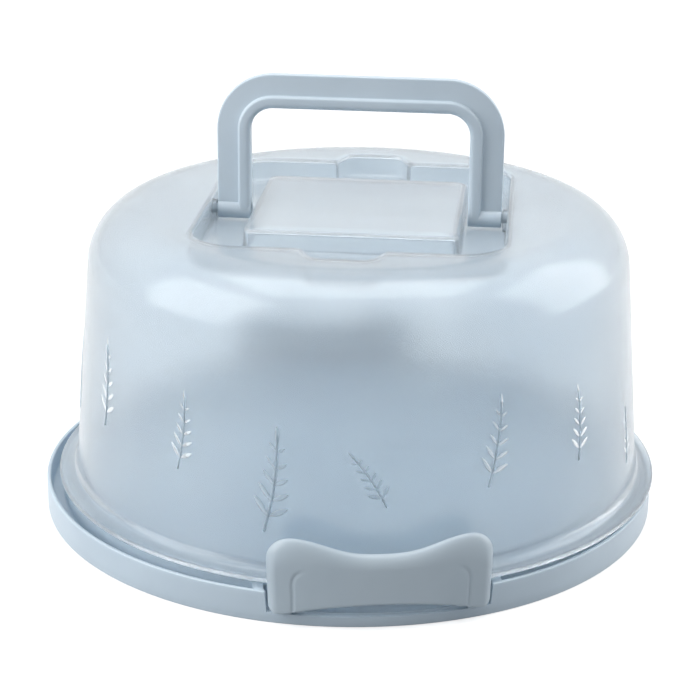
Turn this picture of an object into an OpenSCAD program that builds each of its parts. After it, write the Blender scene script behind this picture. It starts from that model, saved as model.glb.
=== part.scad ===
// Round cake carrier: a shallow tray, a frosted dome lid, a folding bail handle
// and two clasps that hook over the lid's flange. Millimetres, +Z up. The origin
// lies on the table under the middle of the tray, with the clasps at -Y and +Y.

/* [Tray] */
// Outside diameter of the tray
tray_d = 305; // [285:1:330]
// Height of the tray's rim above the table
rim_h = 15; // [14:0.5:20]
// Wall of the tray
tray_wall = 2; // [1.6:0.1:2.4]
// Height of the lip left under each clasp, which is the channel's floor
lip_h = 5; // [4:0.5:6]
// Width of the channel between the rim and the lid's seat
channel_w = 7; // [6:0.5:8]
// Height of the seat above the rim's top
seat_rise = 1.5; // [0.5:0.1:2]
// Height of the platform that carries the cake
platform_h = 13; // [9:0.5:14]
// How far the locating ridge stands above the seat
ridge_h = 3.2; // [2:0.2:5]
// Width of the locating ridge
ridge_w = 3; // [2.4:0.2:4]
// Radius of the foot ring under the platform
foot_ring_r = 60; // [40:1:90]
// Number of radial ribs under the platform
rib_count = 12; // [6:1:20]
// Thickness of those ribs and of the foot ring
under_rib_t = 1.8; // [1.2:0.1:2.4]
// Width of the fine raised line across the platform
line_w = 1.4; // [1:0.1:2]

/* [Lid] */
// Distance from the tray's outside to the flange's edge
flange_inset = 2.6; // [2.2:0.1:4]
// Width of the flange outside the dome's wall
flange_w = 8.7; // [7:0.1:10]
// Thickness of the flange
flange_t = 2.1; // [1.6:0.1:2.6]
// Height of the lid from the underside of its flange
lid_h = 134.7; // [110:0.1:170]
// Wall of the lid
lid_wall = 1.8; // [1.4:0.1:2.2]
// Draft of the dome's wall, in degrees
dome_draft = 4.7; // [2:0.1:6]
// Radius of the dome's shoulder
crown_r = 28; // [18:1:32]
// Radius where the wall meets the flange
foot_fillet = 6; // [3:0.5:7]
// How far the lid sits off the tray's middle, within its play
lid_shift = 3.8; // [0:0.1:4]
// How far the lid is turned on the tray, in degrees
lid_turn = -11; // [-20:1:20]
// Play left between the lid and the locating ridge
ridge_gap = 1.4; // [0.6:0.1:2]

/* [Handle] */
// Overall width of the handle
handle_w = 139; // [120:1:150]
// Height from the pivot to the top of the grip
handle_h = 68; // [60:1:74]
// Width of the handle's outer web
band_w = 10.5; // [9:0.5:12]
// Depth of the web, front to back
band_t = 4; // [3:0.5:6]
// Width of the deep rim inside the web
rib_w = 6; // [4:0.5:7]
// Depth of the rim, front to back
rib_t = 9; // [7:0.5:9]
// Outer corner radius of the handle
handle_corner = 27.5; // [22:0.5:32]
// Radius of the pivot barrels at the feet
barrel_r = 4.5; // [4:0.1:4.8]
// Radius of the trunnions
trunnion_r = 2; // [1.5:0.1:2.5]
// Length of the trunnions
trunnion_l = 3; // [2:0.1:3.4]

/* [Handle recess] */
// Depth of the recess in the lid's top
recess_depth = 11; // [10.5:0.5:14]
// Depth of the handle's pivot below the lid's top
pivot_drop = 5.5; // [5:0.1:5.6]
// Finger space between the folded grip and the recess's edge
grip_space = 9; // [6:0.5:12]
// Gap between the handle's legs and the recess's sides
side_gap = 2.7; // [2:0.1:4]
// Gap between the handle's rim and the island
island_gap = 2.4; // [1.5:0.1:4]
// Corner radius of the recess
recess_corner = 22; // [16:1:26]
// Corner radius of the island
island_corner = 6; // [3:0.5:10]
// Width of the finger notches
notch_w = 38; // [30:1:46]
// How far the finger notches reach beyond the recess
notch_out = 14; // [10:0.5:16]
// Corner radius of the finger notches
notch_corner = 12; // [8:1:14]

/* [Clasps] */
// Width of each clasp
clasp_w = 99.2; // [90:0.2:110]
// How much further each end of a clasp reaches at its top
clasp_flare = 1.2; // [0:0.1:2]
// How far a clasp's face stands out from the tray
clasp_proud = 4; // [3.8:0.1:5]
// Wall of the clasp
clasp_wall = 2; // [1.8:0.1:2.2]
// Height of a clasp's lobes above the lip
lobe_h = 37.2; // [32:0.2:42]
// How far the top edge dips between the lobes
dip = 6.4; // [3:0.2:8]
// Height of the bottom corners above the lip
corner_rise = 1.6; // [1:0.1:3]
// How far the bottom edge arches up in the middle
arch_rise = 6.2; // [5:0.2:8]
// Height of the rounded top edge at the lobes
lobe_round = 11.5; // [6:0.5:13]
// Height of the rounded top edge in the dip
dip_round = 6.5; // [4:0.5:8]
// Radius of a clasp's upper corners, seen from the front
clasp_corner = 11.4; // [8:0.2:13]
// Radius of a clasp's ends, seen from above
clasp_end = 3.8; // [3:0.1:4]
// Gap between the flange's edge and the clasp's back edge
clasp_gap = 2.4; // [2.2:0.1:2.6]
// Gap between the flange's edge and the hook, before it is clipped
hook_gap = 0.8; // [0.7:0.1:1]
// Width of the hook
hook_w = 30; // [20:1:40]
// Thickness of the hook
hook_t = 2.2; // [1.6:0.1:3]
// How far the hook's underside lies below the flange's top before it is clipped
hook_drop = 0.6; // [0.2:0.1:0.7]
// Distance of the hinge axis from the tray's front
hinge_in = 9; // [8.8:0.1:9.4]
// Height of the hinge axis above the lip
hinge_rise = 3.8; // [3.7:0.1:4.4]
// Radius of the hinge pins
hinge_pin_r = 1.8; // [1.4:0.1:2]
// Radius of the knuckles round the hinge pins
knuckle_r = 3.3; // [3:0.1:3.4]
// Thickness of each knuckle and of each lug
lug_t = 4; // [3:0.2:4.4]
// Distance from the middle to the inner face of a lug
lug_x = 39.4; // [36:0.2:40]

/* [Clearances] */
// Radial clearance of every pin in its bore
pin_clear = 0.1; // [0.05:0.01:0.1]
// Gap between the lid's flange and its seat
rest_gap = 0.3; // [0.2:0.05:0.5]
// Gap at the ends of the handle's barrels
barrel_gap = 0.4; // [0.3:0.05:0.6]
// Gap between a knuckle and its lug
knuckle_gap = 0.6; // [0.4:0.05:0.8]
// Gap between a clasp's ends and the foot of the cut-out in the rim
end_gap = 0.8; // [0.7:0.1:2]
// How much wider each side of the cut-out is at its top
gap_flare = 0.8; // [0.4:0.1:1.5]

/* [Hidden] */
$fn = 96;
eps = 0.05;
rim_r = tray_d / 2;
seat_r = rim_r - tray_wall - channel_w;
seat_z = rim_h + seat_rise;
flange_r = rim_r - flange_inset;
flange_z = seat_z + rest_gap;
flange_top = flange_z + flange_t;
dome_r = flange_r - flange_w;
dome_in_r = dome_r - lid_wall / cos(dome_draft);
lid_top = flange_z + lid_h;
crown_z = lid_top - crown_r;
crown_x = dome_r - (crown_z - flange_top) * tan(dome_draft) - crown_r / cos(dome_draft);
ridge_r = dome_in_r - lid_shift - ridge_gap;
ridge_in_r = ridge_r - ridge_w;
cheek_t = 4.7;
line_h = 0.5;

pivot_z = lid_top - pivot_drop;
recess_floor = lid_top - recess_depth;
recess_x = handle_w / 2 + side_gap;
recess_y = handle_h + grip_space;
island_x = handle_w / 2 - band_w - rib_w - island_gap;
island_y = handle_h - band_w - rib_w - island_gap;
boss_w = 2 * barrel_r;

clasp_half = clasp_w / 2;
face_r = rim_r + clasp_proud;
back_r = flange_r + clasp_gap;
hook_r = flange_r + hook_gap;
hook_z = flange_top - hook_drop;
lobe_z = lip_h + lobe_h;
lobe_x = clasp_half - clasp_corner;
corner_z = lip_h + corner_rise;
low_round = 3;
return_h = 4;
return_t = 1.6;
arch_end = 5.5;
solid_end = 3;
arch_x = clasp_half - arch_end;
hollow_end = clasp_half - solid_end;
hinge_y = rim_r - hinge_in;
hinge_z = lip_h + hinge_rise;
stations = 26;
arc_steps = 4;
dip_power = 1.6;

pale_blue = [0.80, 0.86, 0.90];
frosted_blue = [0.76, 0.85, 0.91, 0.55];

// Radius of the dome's outside at height z, below the shoulder
function wall_r(z) = dome_r - (z - flange_top) * tan(dome_draft);

// Half of the tray, to be turned about Z
module tray_section() {
    polygon([
        [0, platform_h], [ridge_in_r, platform_h], [ridge_in_r, seat_z + ridge_h],
        [ridge_r, seat_z + ridge_h], [ridge_r, seat_z], [seat_r, seat_z],
        [seat_r, lip_h], [rim_r - tray_wall, lip_h],
        [rim_r - tray_wall, rim_h - tray_wall / 2], [rim_r, rim_h - tray_wall / 2],
        [rim_r, 0], [rim_r - tray_wall, 0], [rim_r - tray_wall, lip_h - tray_wall],
        [seat_r - tray_wall, lip_h - tray_wall], [seat_r - tray_wall, seat_z - tray_wall],
        [ridge_in_r + tray_wall, seat_z - tray_wall],
        [ridge_in_r + tray_wall, platform_h - tray_wall], [0, platform_h - tray_wall]
    ]);
    translate([rim_r - tray_wall / 2, rim_h - tray_wall / 2])
        circle(r = tray_wall / 2);
}

// A ring between two radii and two heights
module ring(r_in, r_out, z_low, z_high) {
    translate([0, 0, z_low])
        difference() {
            cylinder(r = r_out, h = z_high - z_low, $fn = 180);
            translate([0, 0, -1])
                cylinder(r = r_in, h = z_high - z_low + 2, $fn = 180);
        }
}

// The foot ring and the radial ribs under the platform
module under_ribs() {
    top = platform_h - tray_wall / 2;
    ring(foot_ring_r, foot_ring_r + under_rib_t, 0, top);
    for (i = [0 : rib_count - 1])
        rotate([0, 0, (i + 0.5) * 360 / rib_count])
            translate([foot_ring_r + under_rib_t / 2, -under_rib_t / 2, lip_h])
                cube([ridge_in_r + tray_wall - foot_ring_r, under_rib_t, top - lip_h]);
}

// Half width of the gap in the rim at height z
function gap_x(z) = clasp_half + end_gap + gap_flare * (z - lip_h) / (rim_h - lip_h);

// The gap's outline from the front, with its slanted sides moved out by grow
module gap_outline(grow) {
    top = rim_h + 2;
    polygon([
        [-gap_x(0) - grow, 0], [gap_x(0) + grow, 0], [gap_x(top) + grow, top], [-gap_x(top) - grow, top]
    ]);
}

// The gap in the rim that the front clasp fills
module rim_gap() {
    intersection() {
        ring(rim_r - tray_wall - 1, rim_r + 1, lip_h, rim_h + 1);
        rotate([90, 0, 0])
            linear_extrude(rim_r + 2)
                gap_outline(0);
    }
}

// The blocks that close the channel on both sides of the front clasp
module cheeks() {
    intersection() {
        ring(seat_r - 1, rim_r - tray_wall / 2, lip_h - 1, rim_h - tray_wall / 4);
        rotate([90, 0, 0])
            linear_extrude(rim_r)
                difference() {
                    gap_outline(cheek_t);
                    gap_outline(0);
                }
    }
}

// The two lugs that carry the front clasp's pins
module lugs() {
    intersection() {
        cylinder(r = rim_r, h = rim_h, $fn = 180);
        for (side = [-1, 1])
            translate([side * (lug_x + lug_t / 2) - lug_t / 2, -hinge_y, hinge_z])
                rotate([90, 0, 90])
                    linear_extrude(lug_t)
                        difference() {
                            union() {
                                circle(r = knuckle_r);
                                translate([-knuckle_r, lip_h - 1 - hinge_z])
                                    square([2 * knuckle_r + 4, 1 + hinge_rise]);
                            }
                            circle(r = hinge_pin_r + pin_clear);
                        }
    }
}

module tray() {
    color(pale_blue) {
        difference() {
            rotate_extrude($fn = 180)
                tray_section();
            for (turn = [0, 180])
                rotate([0, 0, turn])
                    rim_gap();
        }
        for (turn = [0, 180])
            rotate([0, 0, turn]) {
                cheeks();
                lugs();
            }
        under_ribs();
        translate([-line_w / 2, -ridge_in_r - eps, platform_h - line_h])
            cube([line_w, 2 * (ridge_in_r + eps), 2 * line_h]);
    }
}

// Half of the dome without its flange; inset moves it inwards for the cavity
module dome_section(inset) {
    tip_x = crown_x + (crown_r - inset) * cos(dome_draft);
    tip_z = crown_z + (crown_r - inset) * sin(dome_draft);
    low_z = flange_z - (inset > 0 ? 1 : 0);
    union() {
        polygon([
            [0, low_z], [wall_r(low_z) - inset / cos(dome_draft), low_z],
            [tip_x, tip_z], [crown_x, lid_top - inset], [0, lid_top - inset]
        ]);
        translate([crown_x, crown_z])
            circle(r = crown_r - inset);
    }
}

// Half of the flange, with the fillet that joins it to the wall
module flange_section() {
    fillet_x = wall_r(flange_top + foot_fillet) + foot_fillet / cos(dome_draft);
    fillet_z = flange_top + foot_fillet;
    edge_r = flange_t / 2;
    translate([dome_in_r, flange_z])
        square([flange_r - edge_r - dome_in_r, flange_t]);
    translate([flange_r - edge_r, flange_z + edge_r])
        circle(r = edge_r, $fn = 32);
    difference() {
        polygon([
            [dome_r - lid_wall / 2, flange_z + eps], [fillet_x, flange_z + eps],
            [fillet_x, flange_top],
            [fillet_x - foot_fillet * cos(dome_draft), fillet_z - foot_fillet * sin(dome_draft)],
            [wall_r(fillet_z) - lid_wall / 2, fillet_z - foot_fillet * sin(dome_draft)]
        ]);
        translate([fillet_x, fillet_z])
            circle(r = foot_fillet);
    }
}

// A rectangle with round corners, centred on the origin
module round_rect(half_x, half_y, r) {
    square([2 * (half_x - r), 2 * half_y], center = true);
    square([2 * half_x, 2 * (half_y - r)], center = true);
    for (sx = [-1, 1])
        for (sy = [-1, 1])
            translate([sx * (half_x - r), sy * (half_y - r)])
                circle(r = r);
}

// The handle's recess in plan: a ring round the island, with two finger notches
module recess_plan(grow) {
    difference() {
        union() {
            round_rect(recess_x + grow, recess_y + grow, recess_corner + grow);
            round_rect(notch_w / 2 + grow, recess_y + notch_out + grow, notch_corner + grow);
        }
        round_rect(island_x - grow, island_y - grow, island_corner - grow);
    }
}

// The bosses on the recess's sides that take the trunnions
module bosses() {
    reach = side_gap - barrel_gap + lid_wall / 2;
    for (side = [-1, 1])
        translate([side * (handle_w / 2 + barrel_gap + reach / 2) - reach / 2, 0, pivot_z])
            rotate([90, 0, 90])
                linear_extrude(reach) {
                    circle(r = boss_w / 2);
                    translate([-boss_w / 2, recess_floor - pivot_z - lid_wall / 2])
                        square([boss_w, pivot_z - recess_floor + lid_wall / 2]);
                }
}

module lid() {
    color(frosted_blue)
        translate([lid_shift, 0, 0])
            rotate([0, 0, lid_turn])
                difference() {
                    union() {
                        difference() {
                            rotate_extrude($fn = 180)
                                intersection() {
                                    union() {
                                        dome_section(0);
                                        flange_section();
                                    }
                                    square([rim_r, lid_top]);
                                }
                            difference() {
                                rotate_extrude($fn = 180)
                                    intersection() {
                                        dome_section(lid_wall);
                                        square([rim_r, lid_top]);
                                    }
                                translate([0, 0, recess_floor - lid_wall])
                                    linear_extrude(recess_depth)
                                        recess_plan(lid_wall);
                            }
                            translate([0, 0, recess_floor])
                                linear_extrude(recess_depth + 1)
                                    recess_plan(0);
                        }
                        bosses();
                    }
                    for (side = [-1, 1])
                        translate([side * handle_w / 2, 0, pivot_z])
                            rotate([0, side * 90, 0])
                                cylinder(r = trunnion_r + pin_clear, h = trunnion_l + barrel_gap, $fn = 48);
                }
}

// An upright arch with round upper corners, standing on the x axis
module arch(w, h, r) {
    translate([-w / 2, 0])
        square([w, h - r]);
    translate([-w / 2 + r, 0])
        square([w - 2 * r, h]);
    for (side = [-1, 1])
        translate([side * (w / 2 - r), h - r])
            circle(r = r);
}

// A bail of the given thickness between an outer and an inner arch
module bail(outer_inset, inner_inset, t) {
    rotate([90, 0, 0])
        linear_extrude(t, center = true)
            difference() {
                arch(handle_w - 2 * outer_inset, handle_h - outer_inset, handle_corner - outer_inset);
                translate([0, -eps])
                    arch(handle_w - 2 * inner_inset, handle_h - inner_inset + eps,
                         handle_corner - inner_inset);
            }
}

module handle() {
    foot = band_w + rib_w;
    color(pale_blue)
        translate([lid_shift, 0, 0])
            rotate([0, 0, lid_turn])
                translate([0, 0, pivot_z]) {
                    bail(0, band_w + rib_w / 2, band_t);
                    bail(band_w, band_w + rib_w, rib_t);
                    for (side = [-1, 1])
                        translate([side * (handle_w / 2 - foot), 0, 0])
                            rotate([0, side * 90, 0]) {
                                cylinder(r = barrel_r, h = foot, $fn = 48);
                                cylinder(r = trunnion_r, h = foot + trunnion_l, $fn = 48);
                            }
                }
}

// Blend from 0 in the middle of a clasp to 1 at its lobes, flatter in the middle
function lobe_blend(x) = abs(x) < lobe_x ? pow((1 - cos(180 * abs(x) / lobe_x)) / 2, dip_power) : 1;
// Height of a clasp's top edge
function top_z(x) = abs(x) < lobe_x
    ? lobe_z - dip * (1 - lobe_blend(x))
    : lobe_z - clasp_corner + sqrt(max(0, pow(clasp_corner, 2) - pow(abs(x) - lobe_x, 2)));
// Height of its bottom edge
function low_z(x) = max(corner_z, corner_z + arch_rise * (1 - pow(x / arch_x, 2)))
    + (abs(x) > clasp_half - low_round
        ? low_round - sqrt(max(0, pow(low_round, 2) - pow(abs(x) - clasp_half + low_round, 2)))
        : 0);
// Radius of its face, which turns in at the ends
function face_x(x) = face_r - (abs(x) > clasp_half - clasp_end
    ? clasp_end - sqrt(max(0, pow(clasp_end, 2) - pow(abs(x) - clasp_half + clasp_end, 2)))
    : 0);
// 1 where the clasp is hollow, 0 where its end is solid
function hollow(x) = min(1, max(0, hollow_end + 1 - abs(x)));
// Outer outline of a clasp's section, from the bottom edge over the top to the back
function outer_line(x) = let (f = face_x(x), lo = low_z(x), hi = top_z(x),
    rise = dip_round + (lobe_round - dip_round) * lobe_blend(x), edge = min(1, (f - back_r) / 3)) concat(
    [[f - edge, lo], [f, lo + edge], [f, (lo + hi - rise) / 2]],
    [for (k = [0 : arc_steps]) let (a = 90 * k / arc_steps)
        [back_r + (f - back_r) * cos(a), hi - rise + rise * sin(a)]],
    [[back_r, hi - return_h]]);
// Inner outline, from the back down to the bottom edge
function inner_line(x) = let (f = face_x(x) - clasp_wall, lo = low_z(x), hi = top_z(x),
    rise = dip_round + (lobe_round - dip_round) * lobe_blend(x), b = back_r + return_t) concat(
    [[b, hi - return_h]],
    [for (k = [arc_steps : -1 : 0]) let (a = 90 * k / arc_steps)
        [b + (f - b) * cos(a), hi - rise + (rise - clasp_wall) * sin(a)]],
    [[f, lo + 2], [f + clasp_wall / 3, lo]]);
// The inner outline drawn out to the back, where the clasp is solid
function solid_line(x) = let (lo = low_z(x), hi = top_z(x), n = arc_steps + 3)
    [for (k = [0 : n]) let (t = (k + 1) / (n + 1)) [back_r, (hi - return_h) * (1 - t) + lo * t]];
function section(x) = let (h = hollow(x), a = inner_line(x), b = solid_line(x)) concat(
    outer_line(x), [for (k = [0 : len(a) - 1]) a[k] * h + b[k] * (1 - h)]);

// How much a clasp is stretched sideways at height z by its flare
function stretch(z) = 1 + clasp_flare / clasp_half * (z - corner_z) / (lobe_z - corner_z);

// The clasp's curved shell, lofted from one end to the other
module clasp_shell() {
    xs = [for (i = [0 : stations]) clasp_half * sin(180 * i / stations - 90)];
    rows = [for (x = xs) [for (p = section(x)) let (u = x * stretch(p[1]))
        [u, -sqrt(p[0] * p[0] - u * u), p[1]]]];
    n = len(rows[0]);
    points = [for (row = rows) for (p = row) p];
    sides = [for (i = [0 : stations - 1]) for (k = [0 : n - 1])
        let (a = i * n + k, b = i * n + (k + 1) % n)
            each [[a, b, b + n], [a, b + n, a + n]]];
    first = [for (k = [n : -1 : 1]) k % n];
    last = [for (k = [0 : n - 1]) stations * n + k];
    polyhedron(points = points, faces = concat(sides, [first], [last]));
}

// The hook that clips over the flange, with a straight nose
module hook() {
    intersection() {
        translate([0, 0, hook_z])
            cylinder(r = face_r - clasp_wall / 2, h = hook_t, $fn = 180);
        translate([-hook_w / 2, -face_r, 0])
            cube([hook_w, face_r - hook_r, hook_z + 2 * hook_t]);
    }
}

// The knuckles inside the clasp, each with its pin
module knuckles() {
    x = lug_x - knuckle_gap - lug_t;
    reach = sqrt(pow(face_r - clasp_wall / 2, 2) - pow(x + lug_t, 2)) - hinge_y;
    for (side = [-1, 1])
        translate([side * (x + lug_t / 2), -hinge_y, hinge_z]) {
            translate([-lug_t / 2, 0, 0])
                rotate([90, 0, 90])
                    linear_extrude(lug_t) {
                        circle(r = knuckle_r);
                        translate([-reach, -1])
                            square([reach, knuckle_r + 1]);
                    }
            rotate([0, side * 90, 0])
                cylinder(r = hinge_pin_r, h = lug_t * 1.5 + knuckle_gap, $fn = 48);
        }
}

module clasp() {
    color(pale_blue) {
        clasp_shell();
        hook();
        knuckles();
    }
}

module front_latch() {
    clasp();
}

module rear_latch() {
    rotate([0, 0, 180])
        clasp();
}

tray();
lid();
handle();
front_latch();
rear_latch();
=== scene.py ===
import math

import bmesh
import bpy
from mathutils import Matrix, Vector


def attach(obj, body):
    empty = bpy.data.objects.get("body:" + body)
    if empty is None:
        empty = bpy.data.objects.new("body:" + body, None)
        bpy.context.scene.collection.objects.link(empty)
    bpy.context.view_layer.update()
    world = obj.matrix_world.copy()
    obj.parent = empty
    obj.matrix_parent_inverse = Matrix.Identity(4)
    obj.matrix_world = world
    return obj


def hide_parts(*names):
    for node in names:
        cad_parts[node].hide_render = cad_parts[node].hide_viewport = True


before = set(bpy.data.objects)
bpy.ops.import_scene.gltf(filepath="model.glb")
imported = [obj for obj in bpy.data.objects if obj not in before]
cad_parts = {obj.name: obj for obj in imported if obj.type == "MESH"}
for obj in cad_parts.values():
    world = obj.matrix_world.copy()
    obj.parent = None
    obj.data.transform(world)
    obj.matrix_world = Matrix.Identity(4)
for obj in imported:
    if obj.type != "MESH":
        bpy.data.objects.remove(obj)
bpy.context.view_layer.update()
for strayName in ("Cube", "Light", "Camera"):
    if strayName in bpy.data.objects:
        bpy.data.objects.remove(bpy.data.objects[strayName])
print("frame loaded:", len(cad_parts), "nodes")

mm = 0.001  # the sizes below are in millimetres where nothing else is said


def addObject(name, data):
    made = bpy.data.objects.new(name, data)
    bpy.context.scene.collection.objects.link(made)
    return made


# Camera: fitted to the tray's ellipses, the dome's outline and the handle
cameraSizes = {
    "distance": 948.1,  # level distance from the tray's middle
    "height": 423.6,
    "azimuth": 5.7,  # degrees to the left of the front latch
    "pitch": 20.196,
    "roll": 0.646,
    "focal": 2017.3,  # in pixels of a frame 700 wide
    "frame": 700,
    "sensor": 36,
    "clip": (0.01, 50),  # in metres
}


def makeCamera(s):
    turn = Matrix.Rotation(math.radians(-s["azimuth"]), 3, "Z")
    pitch, roll = math.radians(s["pitch"]), math.radians(s["roll"])
    ahead = turn @ Vector((0, math.cos(pitch), -math.sin(pitch)))
    right = turn @ Vector((1, 0, 0))
    up = right.cross(ahead)
    across = right * math.cos(roll) + up * math.sin(roll)
    upright = up * math.cos(roll) - right * math.sin(roll)
    data = bpy.data.cameras.new("photoCamera")
    data.sensor_width = s["sensor"]
    data.lens = s["focal"] * s["sensor"] / s["frame"]
    data.clip_start, data.clip_end = s["clip"]
    camera = addObject("photoCamera", data)
    place = Matrix((across, upright, -ahead)).transposed().to_4x4()
    place.translation = turn @ Vector((0, -s["distance"], s["height"])) * mm
    camera.matrix_world = place
    bpy.context.scene.camera = camera


makeCamera(cameraSizes)
print("camera placed")


# Materials


def linear(hexText, alpha=1.0):
    channels = [int(hexText[i : i + 2], 16) / 255 for i in (0, 2, 4)]
    return [c / 12.92 if c <= 0.04045 else ((c + 0.055) / 1.055) ** 2.4 for c in channels] + [alpha]


# Adds a node; settings are its inputs or its own properties, links are input: output socket
def addNode(tree, kind, settings=None, links=None):
    node = tree.nodes.new(kind)
    for key, value in (settings or {}).items():
        if isinstance(key, int) or key in node.inputs:
            node.inputs[key].default_value = value
        else:
            setattr(node, key, value)
    for key, socket in (links or {}).items():
        tree.links.new(socket, node.inputs[key])
    return node


def newMaterial(name):
    material = bpy.data.materials.new(name)
    material.use_nodes = True
    material.node_tree.nodes.clear()
    return material, material.node_tree


# A moulded plastic: a little cloudy where the melt flowed, in colour from deep to pale
# and in roughness from smooth to rough, with bumps from a second noise
def mouldedPlastic(name, cloudScale, colours, roughness, noise, bump, skin):
    material, tree = newMaterial(name)
    place = addNode(tree, "ShaderNodeTexCoord").outputs["Object"]
    cloudy = {"Scale": cloudScale, "Detail": 3.0, "Roughness": 0.5}
    cloud = addNode(tree, "ShaderNodeTexNoise", cloudy, {"Vector": place}).outputs["Fac"]
    tone = addNode(tree, "ShaderNodeValToRGB", None, {"Fac": cloud})
    for stop, position, colour in zip(tone.color_ramp.elements, (0.3, 0.7), colours):
        stop.position = position
        stop.color = linear(colour)
    smooth, rough = roughness
    gloss = addNode(tree, "ShaderNodeMapRange", {"To Min": smooth, "To Max": rough}, {"Value": cloud})
    height = addNode(tree, "ShaderNodeTexNoise", noise, {"Vector": place}).outputs["Fac"]
    links = {
        "Base Color": tone.outputs["Color"],
        "Roughness": gloss.outputs["Result"],
        "Normal": addNode(tree, "ShaderNodeBump", bump, {"Height": height}).outputs["Normal"],
    }
    shader = addNode(tree, "ShaderNodeBsdfPrincipled", skin, links)
    addNode(tree, "ShaderNodeOutputMaterial", None, {"Surface": shader.outputs["BSDF"]})
    return material


# Opaque polypropylene, injection moulded: a waxy satin skin with a spark-eroded grain.
# The grain is 0.5 mm across, coarser than the real 0.1 mm so that it shows.
def polypropylene(name, paleHex, deepHex, roughness):
    skin = {"IOR": 1.49, "Subsurface Weight": 0.12, "Subsurface Scale": 0.002}
    skin["Subsurface Radius"] = (0.8, 0.9, 1.0)
    return mouldedPlastic(
        name,
        22.0,
        (deepHex, paleHex),
        (roughness - 0.05, roughness + 0.07),
        {"Scale": 2000.0, "Detail": 2.0},
        {"Strength": 0.05, "Distance": 0.0001},
        skin,
    )


# Natural polypropylene with a little blue: thin enough to see through, milky from
# its crystals, with soft reflections because the mould was blasted, not polished.
# The noise makes the long shallow waves that a big thin moulding always has.
def frostedPolypropylene(name, paleHex, deepHex, roughness, clearness):
    return mouldedPlastic(
        name,
        14.0,
        (deepHex, paleHex),
        (roughness - 0.04, roughness + 0.05),
        {"Scale": 24.0, "Detail": 1.0},
        {"Strength": 0.12, "Distance": 0.0008},
        {"IOR": 1.49, "Transmission Weight": clearness, "Specular IOR Level": 0.22},
    )


trayPlastic = polypropylene("trayPolypropylene", "CBDAE5", "C1D0DC", 0.34)
handlePlastic = polypropylene("handlePolypropylene", "CAD7E1", "C1CFDA", 0.32)
latchPlastic = polypropylene("latchPolypropylene", "BBC8D1", "B1BFC9", 0.33)
lidPlastic = frostedPolypropylene("lidFrostedPolypropylene", "ECF3F8", "E3ECF3", 0.21, 0.82)
reliefPlastic = frostedPolypropylene("lidReliefPolypropylene", "DCE8F0", "D2E0EA", 0.42, 0.72)
print("materials made")


# Mesh helpers


def smoothPiece(name, mesh, material, sharpAngle):
    mesh.shade_smooth()
    mesh.set_sharp_from_angle(angle=math.radians(sharpAngle))
    mesh.materials.append(material)
    return addObject(name, mesh)


# A list of points, in millimetres, and faces become an object at the origin
def makePiece(name, points, faces, material, sharpAngle=35):
    mesh = bpy.data.meshes.new(name)
    mesh.from_pydata([Vector(p) * mm for p in points], [], faces)
    shape = bmesh.new()
    shape.from_mesh(mesh)
    bmesh.ops.recalc_face_normals(shape, faces=shape.faces)
    shape.to_mesh(mesh)
    shape.free()
    return smoothPiece(name, mesh, material, sharpAngle)


# Adds a skin over rings of points to a shape held as [points, faces]; a ring of one
# point is a pole, and open rings leave the first and last ring as flat caps
def loft(shape, rings, capped=False):
    points, faces = shape
    starts = []
    for ring in rings:
        starts.append(len(points))
        points.extend(ring)
    for near, far, ringA, ringB in zip(starts, starts[1:], rings, rings[1:]):
        count = max(len(ringA), len(ringB))
        for i in range(count):
            j = (i + 1) % count
            if len(ringA) == 1:
                faces.append((near, far + i, far + j))
            elif len(ringB) == 1:
                faces.append((near + j, near + i, far))
            else:
                faces.append((near + i, far + i, far + j, near + j))
    if capped:
        faces.append(tuple(range(starts[0], starts[0] + len(rings[0]))))
        faces.append(tuple(range(starts[-1], starts[-1] + len(rings[-1])))[::-1])


# Points of an arc round (x, z), from one angle to another in degrees
def arc(x, z, r, first, last, steps):
    turns = [math.radians(first + (last - first) * i / steps) for i in range(steps + 1)]
    return [(x + r * math.cos(a), z + r * math.sin(a)) for a in turns]


# Points between two values, without the last
def stretch(a, b, steps):
    return [a + (b - a) * i / steps for i in range(steps)]


# A block with rounded edges between two corners
def roundBlock(name, low, high, radius, material):
    size = [h - l for l, h in zip(low, high)]
    shape = bmesh.new()
    bmesh.ops.create_cube(shape, size=1.0)
    bmesh.ops.scale(shape, vec=[s * mm for s in size], verts=shape.verts)
    middle = [(l + h) / 2 * mm for l, h in zip(low, high)]
    bmesh.ops.translate(shape, vec=middle, verts=shape.verts)
    bmesh.ops.bevel(
        shape, geom=shape.edges[:], offset=radius * mm, segments=3, profile=0.5, affect="EDGES"
    )
    mesh = bpy.data.meshes.new(name)
    shape.to_mesh(mesh)
    shape.free()
    return smoothPiece(name, mesh, material, 50)


# Joins pieces into the first one
def joinPieces(first, *others):
    whole = bmesh.new()
    for piece in (first, *others):
        whole.from_mesh(piece.data)
    whole.to_mesh(first.data)
    whole.free()
    for piece in others:
        bpy.data.objects.remove(piece)
    return first


def turnPiece(piece, degrees, shift=(0, 0, 0)):
    turn = Matrix.Rotation(math.radians(degrees), 4, "Z")
    piece.data.transform(Matrix.Translation(Vector(shift) * mm) @ turn)
    return piece


# Geometry Nodes


# A new tree with named inputs; each input is (name, socket type, value)
def newTree(name, sockets):
    tree = bpy.data.node_groups.new(name, "GeometryNodeTree")
    tree.interface.new_socket("Geometry", in_out="INPUT", socket_type="NodeSocketGeometry")
    for label, kind, value in sockets:
        socket = tree.interface.new_socket(label, in_out="INPUT", socket_type=kind)
        if value is not None:
            socket.default_value = value
    tree.interface.new_socket("Geometry", in_out="OUTPUT", socket_type="NodeSocketGeometry")
    return tree, addNode(tree, "NodeGroupInput").outputs


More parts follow.
